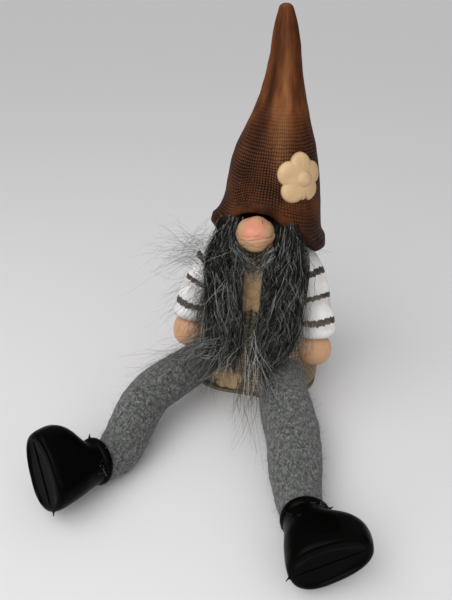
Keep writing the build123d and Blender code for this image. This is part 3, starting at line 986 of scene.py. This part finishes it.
def makeBeardHair(name, materials):
    side = sides[name]
    chance = np.random.default_rng(panels[name]["seed"])
    count = beard["hairs"]
    along = np.linspace(0, 1, beard["steps"])[None]
    for label, layer in hairLayers.items():
        rootDown = chance.uniform(0, 1, (count, 1)) ** 1.1 * 0.66
        reach = chance.uniform(0.22, 0.50, (count, 1))
        down = np.minimum(rootDown + reach * along, chance.uniform(0.82, 1.04, (count, 1)))
        root = np.clip(chance.normal(0, 0.55, (count, 1)), -1, 1)
        # locks: neighbouring hairs share a drift, so that the pile parts and crosses
        lock = np.concatenate([root * 2.2, rootDown * 7.0, np.full_like(root, side * 3.0)], 1)
        sway = wander(lock, 1.1, 64, 2)[:, None]
        lean = chance.normal(0, layer["stray"], (count, 1))
        lane = root + (0.8 * sway + lean) * along + 0.4 * sway * np.sin(along * 4.0 + 5 * root)
        middle, half = panelLine(name, "middle", down), panelLine(name, "half", down)
        wave = chance.uniform(4, 16, (count, 1))
        phase = chance.uniform(0, 6.3, (count, 1))
        bend = 0.8 * layer["frizz"] * (np.sin(along * wave + phase) - np.sin(phase)) * (0.35 + along)
        bow = chance.normal(0, 1.0, (count, 1)) * np.sin(along * math.pi)
        # the inner edge stays clear of the parting, and only a few hairs leave the outer edge
        rim = 1.04 + 0.5 * (chance.uniform(0, 1, (count, 1)) > 0.93)
        lane = np.clip(lane, -1.02, rim)
        outward = np.minimum(bow + bend, 1.6 * rim)
        inward = np.maximum(bow + bend, -0.9 - 2.0 * (lane > -0.75))
        drift = np.where(lane > 0, outward, inward)
        x = side * (middle + half * lane + drift)
        bulge = 3.0 * np.sqrt(np.clip(1 - (lane / 1.5) ** 2, 0, 1))
        lifted = layer["standOff"] * chance.uniform(0.1, 1.5, (count, 1)) * (0.25 + along)
        y = panelFront(down) + 1.4 - bulge * chance.uniform(0.55, 1.0, (count, 1)) - lifted
        y = y - 0.6 * layer["frizz"] * np.sin(along * wave * 0.8 + phase * 2)
        y = y - chance.uniform(0, 1.6, (count, 1)) * along**2
        z = beard["top"] + (beard["bottom"] - beard["top"]) * down + 0.5 * bend
        paths = liftOut(np.stack([x, y, z], -1))
        thick = layer["width"] * chance.uniform(0.55, 1.3, (count, 1)) * (1 - 0.7 * along**2)
        shade = chance.choice(len(materials), count, p=layer["mixture"])
        thing = hairPiece(f"{name}BeardHair{label}", paths, thick, shade, materials)
        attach(thing, "figure")


# Long loose hairs: where each bunch starts, where its ends lie, and how far they scatter
looseHair = (
    # count, root, end, root scatter, end scatter, sag or lift, thickness
    (150, (-18, -24, 70), (-34, -31, 70), (3, 3, 14), (10, 8, 14), 4.0, 0.07),
    (110, (-19, -26, 58), (-29, -34, 47), (3, 3, 12), (9, 8, 13), 3.0, 0.07),
    (190, (-17, -28, 56), (-21, -31, 36), (1.5, 2, 13), (4, 3, 10), 1.0, 0.09),
    (110, (-9, -32, 36), (-29, -44, 27), (5, 2, 7), (11, 9, 4), 3.0, 0.09),
    (80, (-5, -32, 34), (-14, -46, 21), (6, 2, 5), (11, 7, 5), 2.0, 0.10),
    (80, (8, -33, 34), (12, -50, 21), (6, 2, 7), (8, 9, 5), 3.0, 0.10),
    (34, (1, -33, 32), (5, -50, 9), (4, 2, 5), (6, 8, 4), 2.0, 0.11),
    (9, (0, -34, 36), (9, -60, 4), (1.5, 1, 3), (4, 6, 2), 2.0, 0.15),
    (12, (3, -34, 40), (16, -52, 22), (3, 1, 4), (8, 4, 3), 2.0, 0.15),
    (10, (-2, -34, 30), (-34, -44, 24), (4, 1, 4), (8, 5, 4), 3.0, 0.13),
    (12, (20, -22, 76), (29, -20, 76), (4, 3, 4), (5, 5, 7), 2.0, 0.07),
    (60, (22, -28, 56), (24, -31, 38), (1.5, 2, 13), (2, 3, 9), 0.8, 0.09),
    (110, (-6, -29, 78), (-1, -28, 67), (2, 1.5, 3), (4, 1.5, 4), 1.0, 0.09),
    (140, (8, -29, 78), (1, -28, 66), (2, 1.5, 3), (4, 1.5, 4), 1.0, 0.09),
    (60, (-4, -29, 46), (1, -31, 33), (1, 1, 6), (4, 2, 5), 1.0, 0.09),
    (70, (5, -29, 46), (0, -31, 33), (1, 1, 6), (4, 2, 5), 1.0, 0.09),
    (8, (-4, -29, 60), (1, -30, 46), (1, 1, 6), (3, 2, 6), 1.0, 0.08),
    (8, (5, -29, 60), (0, -30, 46), (1, 1, 6), (3, 2, 6), 1.0, 0.08),
    (14, (-8, -31, 76), (-20, -33, 66), (2, 1, 2), (4, 2, 4), 1.5, 0.13),
    (40, (14, -33, 64), (9, -36, 42), (8, 1, 14), (12, 2, 12), 1.0, 0.12),
    (40, (-11, -33, 62), (-9, -36, 42), (7, 1, 14), (10, 2, 12), 1.0, 0.12),
    (2, (4, -28, 84), (3, -25, 100), (1, 1, 1), (1, 0.5, 4), 0.6, 0.10),
)


def makeLooseHair(materials):
    chance = np.random.default_rng(77)
    along = np.linspace(0, 1, 18)[None, :, None]
    allPaths, allThick = [], []
    for count, root, end, rootScatter, endScatter, lift, width in looseHair:
        start = np.array(root) + chance.normal(0, 0.5, (count, 3)) * np.array(rootScatter)
        stop = np.array(end) + chance.normal(0, 0.55, (count, 3)) * np.array(endScatter)
        path = start[:, None] * (1 - along) + stop[:, None] * along
        arch = np.sin(along * math.pi)
        path = path + arch * np.array([0, -0.3, 1.0]) * lift * chance.uniform(0.1, 1.3, (count, 1, 1))
        curl = chance.uniform(2.0, 9.0, (count, 1, 1))
        phase = chance.uniform(0, 6.3, (count, 1, 3))
        size = 0.8 + 0.07 * float(np.linalg.norm(np.array(end) - np.array(root)))
        path = path + size * along * (np.sin(along * curl + phase) - np.sin(phase))
        path = liftOut(path)
        path[..., 2] = np.maximum(path[..., 2], 0.6)
        allPaths.append(path)
        allThick.append(width * chance.uniform(0.7, 1.3, (count, 1)) * (1 - 0.6 * along[..., 0] ** 2))
    paths, thick = np.concatenate(allPaths), np.concatenate(allThick)
    shade = chance.choice(len(materials), len(paths), p=(0.24, 0.28, 0.27, 0.21))
    thing = hairPiece("looseBeardHair", paths, thick, shade, materials)
    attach(thing, "figure")


# Legs

legs = {
    "right": {"radii": (7.8, 9.0, 9.4, 9.2, 9.0, 8.3, 6.6), "bow": (0.0, 0.5, 0.8),
              "shaft": (-0.485, -0.845, 0.224), "toe": (-0.414, 0.448, 0.792)},
    "left": {"radii": (8.2, 10.8, 11.2, 10.8, 10.3, 8.6, 6.6), "bow": (0.0, 0.0, 0.5),
             "shaft": (0.298, -0.944, 0.145), "toe": (0.863, 0.331, 0.381)},
}
fuzzTones = (
    ("fuzzDark", (0.05, 0.05, 0.05)),
    ("fuzzGrey", (0.22, 0.22, 0.22)),
    ("fuzzPale", (0.5, 0.5, 0.49)),
)
felt = {
    "columns": 120,
    "step": 0.45,
    "lump": 0.38,
    "fuzz": 1500,
    "fuzzLength": 1.7,
    "fuzzThick": 0.055,
    "fuzzSteps": 5,
    "seam": 0.07,
    "ground": 0.25,
    # how far the tube runs on behind the hip and inside the boot
    "rootDepth": 24.0,
    "cuffDepth": 18.5,
    "bendHalf": 8.5,
}


def legPoints(name):
    leg = legs[name]
    hip, knee, ankle = (np.array(joints[f"{name}_{part}"]) for part in ("hip_swing", "knee", "ankle"))
    low, high = boxOf(f"{name}_leg_tab")
    root = np.array([(low[0] + high[0]) / 2, hip[1] + felt["rootDepth"], (low[2] + high[2]) / 2])
    shaft = np.array(leg["shaft"]) / np.linalg.norm(leg["shaft"])
    inside = ankle + shaft * felt["cuffDepth"]
    return root, hip, knee, ankle, inside


# The whole leg as one soft tube, with the lengths along it at which its places lie
def legTube(name):
    leg = legs[name]
    root, hip, knee, ankle, inside = legPoints(name)
    places = np.array([root, hip, (hip + knee) / 2 + leg["bow"], knee, (knee + ankle) / 2, ankle, inside])
    keys = np.concatenate([[0], np.cumsum(np.linalg.norm(np.diff(places, axis=0), axis=1))])
    where = np.linspace(0, keys[-1], int(keys[-1] / felt["step"]))
    centre, along = lineThrough(places, where / keys[-1])
    turn = np.linspace(0, 2 * math.pi, felt["columns"], endpoint=False) - math.pi / 2
    ring = waysAround(along, (0.0, 0.0, 1.0), turn)
    radius = through(keys, leg["radii"], where)[:, None]
    plain = centre[:, None] + ring * radius[..., None]
    lumps = felt["lump"] * wander(plain, 9.0, 80 + sides[name]) + 0.16 * wander(plain, 1.6, 83)
    seam = sum(np.exp(-((turn - at) / felt["seam"]) ** 2) for at in (-math.pi / 2, 1.5 * math.pi))
    place = centre[:, None] + ring * (radius + lumps - 0.5 * seam[None])[..., None]
    # a soft tube settles on what it lies on
    ground = felt["ground"]
    place[..., 2] = ground + np.logaddexp(0, (place[..., 2] - ground) / 0.7) * 0.7
    return place, ring, along, where, keys


# Fine fibres that stand off the felt
def fuzzHairs(chance, skin, ring, count):
    row = chance.integers(0, len(skin), count)
    column = chance.integers(0, felt["columns"], count)
    outward = ring[row, column]
    lean = chance.normal(0, 0.75, (count, 3))
    long = felt["fuzzLength"] * chance.uniform(0.35, 1.3, (count, 1, 1))
    t = np.linspace(0, 1, felt["fuzzSteps"])[None, :, None]
    heading = outward * 0.45 + lean
    curl = chance.normal(0, 0.55, (count, 1, 3))
    start = skin[row, column][:, None] - outward[:, None] * 0.1
    paths = start + (heading[:, None] * t + curl * t**2) * long
    paths[..., 2] = np.maximum(paths[..., 2], 0.2)
    thick = felt["fuzzThick"] * (1 - 0.5 * t[..., 0])
    return paths, np.repeat(thick, count, axis=0)


# Ten millimetres to one of the felt's own units, along and around
def layFelt(thing, name, lengths):
    girth = np.linspace(0, 2 * math.pi * legs[name]["radii"][2], felt["columns"], endpoint=False) / 10
    wide = np.zeros(len(thing.data.vertices))
    tall = np.zeros(len(thing.data.vertices))
    skin = len(lengths) * felt["columns"]
    wide[:skin] = np.tile(girth, len(lengths))
    tall[:skin] = np.repeat(lengths / 10, felt["columns"])
    corner = np.array([loop.vertex_index for loop in thing.data.loops])
    lie = np.stack([wide[corner], tall[corner]], -1).ravel().astype(np.float32)
    thing.data.uv_layers.new(name="feltLie").data.foreach_set("uv", lie)


def makeLeg(name, feltMaterial, fuzzMaterials):
    place, ring, along, where, keys = legTube(name)
    _, hip, knee, ankle, _ = legPoints(name)
    count, total = len(where), keys[-1]
    midThigh, midShin = (keys[1] + keys[3]) / 2, (keys[3] + keys[5]) / 2
    # label, start, end and bend along the tube, the bodies on both sides, the hinge and the CAD's nodes
    stretches = (
        ("UpperFelt", 0.0, midThigh, keys[1], f"{name}_hip", f"{name}_thigh", hip,
         (f"{name}_leg_tab", f"{name}_leg_top", f"{name}_thigh", f"{name}_thigh_stuffing")),
        ("MiddleFelt", midThigh, midShin, keys[3], f"{name}_thigh", f"{name}_shin", knee,
         (f"{name}_shin", f"{name}_shin_stuffing")),
        ("LowerFelt", midShin, total, keys[5], f"{name}_shin", f"{name}_boot", ankle,
         (f"{name}_ankle_plug",)),
    )
    chance = np.random.default_rng(90 + sides[name])
    for label, begin, stop, bend, first, second, pivot, nodes in stretches:
        rows = np.flatnonzero((where >= begin - felt["step"]) & (where <= stop + felt["step"] * 0.01))
        skin = place[rows]
        faces = ringFaces(len(rows), felt["columns"])
        fuzzCount = int(felt["fuzz"] * len(rows) / count * 2.2)
        paths, thick = fuzzHairs(chance, skin, ring[rows], fuzzCount)
        hairPoints, hairFaces = hairGeometry(paths, thick)
        points = np.vstack([skin.reshape(-1, 3), hairPoints])
        allFaces = np.vstack([faces, hairFaces + skin.shape[0] * skin.shape[1]])
        thing = meshFrom(f"{name}{label}", points, allFaces.tolist())
        for material in (feltMaterial, *fuzzMaterials):
            thing.data.materials.append(material)
        perHair = (felt["fuzzSteps"] - 1) * hairFacets
        shade = np.repeat(chance.choice((1, 2, 3), fuzzCount, p=(0.25, 0.4, 0.35)), perHair)
        numbers = np.concatenate([np.zeros(len(faces), int), shade]).astype(np.int32)
        thing.data.polygons.foreach_set("material_index", numbers)
        layFelt(thing, name, where[rows])
        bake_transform(thing)
        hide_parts(*nodes)


# Boots

boot = {
    "height": 24.6,
    # height up from the sole, then the reach to the toe, to the heel and to each side
    "levels": (0.0, 0.4, 1.2, 2.6, 5.0, 8.0, 11.0, 13.5, 15.6, 17.4, 19.0, 20.6),
    "toes": (15.3, 16.6, 17.5, 18.0, 18.3, 18.3, 17.4, 15.6, 13.0, 10.6, 9.0, 8.2),
    "heels": (8.7, 9.9, 10.5, 10.7, 10.6, 10.2, 9.7, 9.2, 8.8, 8.5, 8.3, 8.2),
    "sides": (6.9, 8.1, 8.8, 9.1, 9.2, 9.2, 9.1, 8.9, 8.6, 8.4, 8.25, 8.15),
    "shaftTop": 20.6,
    "rollCentre": 22.8,
    "rollRadius": 1.75,
    "rollReach": 7.75,
    "rollFlatten": 0.74,
    "innerRadius": 6.7,
    "innerHeight": 12.0,
    "square": 2.35,
    "gap": 0.3,
    # toe, heel and side reach and the height of two rings in the sole's hollow
    "soleRings": ((11.0, 6.0, 5.0, 0.35), (15.0, 8.2, 7.0, 0.18)),
    # place along the boot, height, lean and length of the two nubs of flash
    "nubs": ((9.0, 23.0, 0.5, 1.5), (-10.3, 1.0, -0.7, 1.6)),
    "flashRun": (-8.4, 14.8),
    "columns": 144,
    "ridge": 0.13,
}


# One ring of the boot: rounded off square, longer towards the toe than towards the heel
def bootRing(turn, toeReach, heelReach, sideReach, height, square=boot["square"]):
    forward, sideways = np.cos(turn), np.sin(turn)
    ahead = np.sign(forward) * np.abs(forward) ** (2 / square)
    aside = np.sign(sideways) * np.abs(sideways) ** (2 / square)
    reach = np.where(forward > 0, toeReach, heelReach)
    return np.stack([reach * ahead, sideReach * aside, np.full_like(turn, height)], -1)


# The boot's outer wall, its rolled cuff and a stretch of its inner wall, standing on its sole
def bootRings(turn):
    rings = [bootRing(turn, *reaches) for reaches in boot["soleRings"]]
    for height in np.concatenate([np.linspace(0, 3.0, 14), np.linspace(3.2, boot["shaftTop"], 56)]):
        reaches = (through(boot["levels"], boot[part], height) for part in ("toes", "heels", "sides"))
        square = boot["square"] - 0.3 * float(smoothStep(10.0, 20.0, height))
        ring = bootRing(turn, *reaches, height, square)
        spread = np.linalg.norm(ring[:, :2], axis=1, keepdims=True)
        seam = boot["ridge"] * np.exp(-(ring[:, 1:2] / 0.35) ** 2)
        ring[:, :2] *= 1 + (seam + 0.12 * wander(ring, 9.0, 99)[:, None]) / spread
        rings.append(ring)
    forward, sideways = np.cos(turn), np.sin(turn)
    wobble = 0.10 * np.sin(3 * turn + 1) + boot["ridge"] * np.exp(-((turn - math.pi) / 0.05) ** 2)
    for swing in np.linspace(-0.42, 1.25, 20) * math.pi:
        reach = boot["rollReach"] + boot["rollRadius"] * math.cos(swing) * boot["rollFlatten"] + wobble
        height = boot["rollCentre"] + boot["rollRadius"] * math.sin(swing)
        rings.append(np.stack([reach * forward, reach * sideways, height + 0.15 * np.sin(2 * turn)], -1))
    inner = boot["innerRadius"]
    rings.append(np.stack([inner * forward, inner * sideways, np.full_like(turn, boot["innerHeight"])], -1))
    return np.array(rings)


def makeBoot(name, material):
    leg = legs[name]
    shaft = np.array(leg["shaft"]) / np.linalg.norm(leg["shaft"])
    toe = np.array(leg["toe"])
    toe = toe - shaft * (toe @ shaft)
    toe /= np.linalg.norm(toe)
    across = np.cross(-shaft, toe)
    ankle = np.array(joints[f"{name}_ankle"])
    sole = ankle + shaft * (leg["radii"][5] + boot["gap"] + boot["height"])

    def placed(local):
        return sole + local[..., :1] * toe + local[..., 1:2] * across - local[..., 2:3] * shaft

    turn = np.linspace(0, 2 * math.pi, boot["columns"], endpoint=False)
    shell = ringSurface(f"{name}BootShell", placed(bootRings(turn)), capFirst=True)
    # the mould's flash: two little nubs where its halves meet, and a line along the sole
    nubs = []
    step = np.linspace(-0.3, 1, 6)
    for reach, height, lean, length in boot["nubs"]:
        run = reach + np.copysign(step * length, reach)
        nubs.append(np.stack([run, 0.25 * step**2, height + lean * step**2], -1))
    thickness = np.tile(np.linspace(1.0, 0.25, 6), (2, 1))
    points, faces = hairGeometry(placed(np.array(nubs)), thickness, 8)
    run = np.linspace(*boot["flashRun"], 24)
    ridge = placed(np.stack([run, np.zeros_like(run), np.full_like(run, 0.2)], -1))
    ridgePoints, ridgeFaces = hairGeometry(ridge[None], np.full((1, 24), 0.45), 8)
    faces = np.vstack([faces, ridgeFaces + len(points)])
    extra = meshFrom(f"{name}BootNubs", np.vstack([points, ridgePoints]), faces.tolist())
    for thing in (shell, extra):
        thing.data.materials.append(material)
        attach(thing, f"{name}_boot")
    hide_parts(f"{name}_boot")


# Put it together

addCamera()
addFloor()
addLights()
addSky()
print("stage: camera and studio")

makeHat()
creamPaint = castPaint("creamPaint", (0.63, 0.435, 0.232), (0.53, 0.350, 0.178), (0.17, 0.100, 0.05), 0.5)
tanPaint = castPaint("tanPaint", (0.78, 0.53, 0.27), (0.52, 0.33, 0.155), (0.10, 0.055, 0.028), 0.75)
makeFlower("hatFlowerCast", hatFlower, hatSurface, "hat_flower", creamPaint)
print("stage: hat")

makeTorso()
makeFlower("chestFlowerCast", chestFlower, torsoSurface, "chest_flower", tanPaint)
# a darker copy of the cream paint, for the low belly flower
darkerCream = castPaint("darkerCreamPaint", (0.50, 0.36, 0.19), (0.36, 0.25, 0.125), (0.10, 0.06, 0.03), 0.7)
makeFlower("bellyFlowerCast", bellyFlower, torsoSurface, "belly_flower", darkerCream)
makeNose()
sleeveMaterial = sleevePaint()
fleshPaint = castPaint("fleshPaint", (0.66, 0.385, 0.220), (0.54, 0.295, 0.160), (0.30, 0.14, 0.075), 0.5)
for name in sides:
    makeSleeve(name, sleeveMaterial)
    makeHand(name, fleshPaint)
seatPad = frame["nodes"]["seat_pad"]
seatPad.data.materials.clear()
seatPad.data.materials.append(padFelt())
print("stage: torso, nose and arms")

hairShades = [hairMaterial(name, tone) for name, tone in hairTones]
for name in panels:
    makeBeardMass(name)
    makeBeardHair(name, hairShades)
makeLooseHair(hairShades)
print("stage: beard")

feltMaterial = woolFelt()
fuzzShades = [hairMaterial(name, tone, 0.8) for name, tone in fuzzTones]
vinyl = bootVinyl()
for name in sides:
    makeLeg(name, feltMaterial, fuzzShades)
    makeBoot(name, vinyl)
print("stage: legs and boots")
